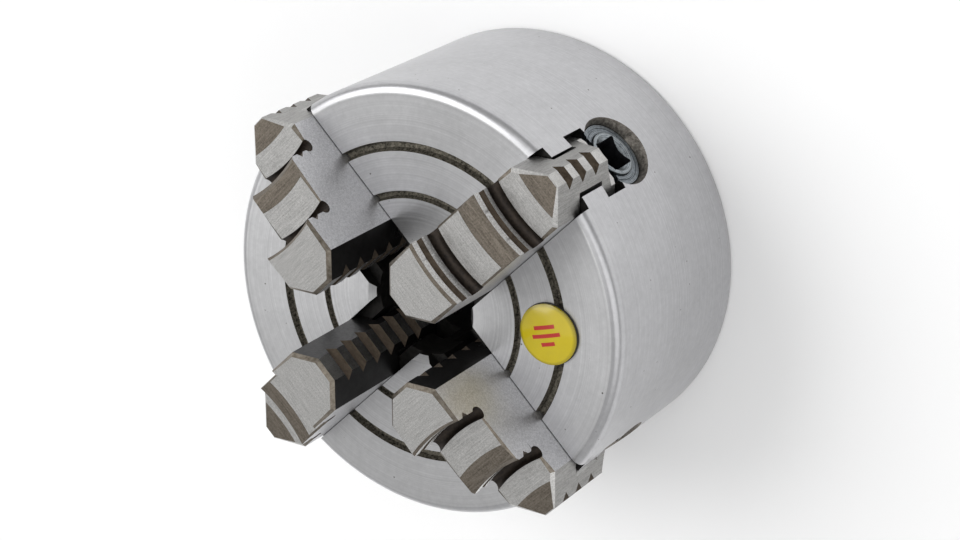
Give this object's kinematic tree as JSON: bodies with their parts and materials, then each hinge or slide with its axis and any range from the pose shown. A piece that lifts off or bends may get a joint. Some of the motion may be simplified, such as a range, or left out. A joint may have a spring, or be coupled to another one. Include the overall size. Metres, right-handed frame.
{
  "type": "lathe chuck",
  "caption": "Independent lathe chuck with stepped reversible jaws, each moved in its slot by its own square-socket screw, on a plain recessed back.",
  "frame": {"origin": "centre of the back mounting face, on the spindle axis", "axes": "+Z along the spindle axis towards the jaws, jaw_1 along +X, jaw_2 along +Y, jaw_3 along -X, jaw_4 along -Y"},
  "size_m": [0.1062, 0.1062, 0.075],
  "materials": {
    "cast_iron_body": "ground and turned bright, fine concentric marks",
    "ground_jaw_steel": "hardened and surface ground, as-milled brown on bevels",
    "screw_steel": "turned alloy steel, lightly oiled",
    "bearing_steel": "turned steel, blue-grey",
    "black_oxide_steel": "black oxide",
    "label_backing": "dark edge of the badge",
    "yellow_enamel": null
  },
  "bodies": {
    "chuck": {"chuck_body": "cast_iron_body", "thrust_bearing_1": "bearing_steel", "thrust_bearing_2": "bearing_steel", "thrust_bearing_3": "bearing_steel", "thrust_bearing_4": "bearing_steel", "bearing_set_screw_1": "black_oxide_steel", "bearing_set_screw_2": "black_oxide_steel", "bearing_set_screw_3": "black_oxide_steel", "bearing_set_screw_4": "black_oxide_steel", "badge_backing": "label_backing", "badge_disc": "yellow_enamel"},
    "screw_1": {"jaw_screw_1": "screw_steel"},
    "jaw_1": {"jaw_1": "ground_jaw_steel"},
    "screw_2": {"jaw_screw_2": "screw_steel"},
    "jaw_2": {"jaw_2": "ground_jaw_steel"},
    "screw_3": {"jaw_screw_3": "screw_steel"},
    "jaw_3": {"jaw_3": "ground_jaw_steel"},
    "screw_4": {"jaw_screw_4": "screw_steel"},
    "jaw_4": {"jaw_4": "ground_jaw_steel"}
  },
  "joints": [
    {"name": "screw_turn_1", "type": "hinge", "parent": "chuck", "child": "screw_1", "pos_m": [0.045, 0, 0.028], "axis": [1, 0, 0], "range_deg": [-900, 1260]},
    {"name": "jaw_slide_1", "type": "slide", "parent": "chuck", "child": "jaw_1", "axis": [1, 0, 0], "range_m": [-0.01, 0.014]},
    {"name": "screw_turn_2", "type": "hinge", "parent": "chuck", "child": "screw_2", "pos_m": [0, 0.045, 0.028], "axis": [0, 1, 0], "range_deg": [-900, 1260]},
    {"name": "jaw_slide_2", "type": "slide", "parent": "chuck", "child": "jaw_2", "axis": [0, 1, 0], "range_m": [-0.01, 0.014]},
    {"name": "screw_turn_3", "type": "hinge", "parent": "chuck", "child": "screw_3", "pos_m": [-0.045, 0, 0.028], "axis": [-1, 0, 0], "range_deg": [-900, 1260]},
    {"name": "jaw_slide_3", "type": "slide", "parent": "chuck", "child": "jaw_3", "axis": [-1, 0, 0], "range_m": [-0.01, 0.014]},
    {"name": "screw_turn_4", "type": "hinge", "parent": "chuck", "child": "screw_4", "pos_m": [0, -0.045, 0.028], "axis": [0, -1, 0], "range_deg": [-900, 1260]},
    {"name": "jaw_slide_4", "type": "slide", "parent": "chuck", "child": "jaw_4", "axis": [0, -1, 0], "range_m": [-0.01, 0.014]}
  ],
  "couplings": [
    {"joint": "screw_turn_1", "follows": "jaw_slide_1", "rad_per_m": 1570.8},
    {"joint": "screw_turn_2", "follows": "jaw_slide_2", "rad_per_m": 1570.8},
    {"joint": "screw_turn_3", "follows": "jaw_slide_3", "rad_per_m": 1570.8},
    {"joint": "screw_turn_4", "follows": "jaw_slide_4", "rad_per_m": 1570.8}
  ]
}
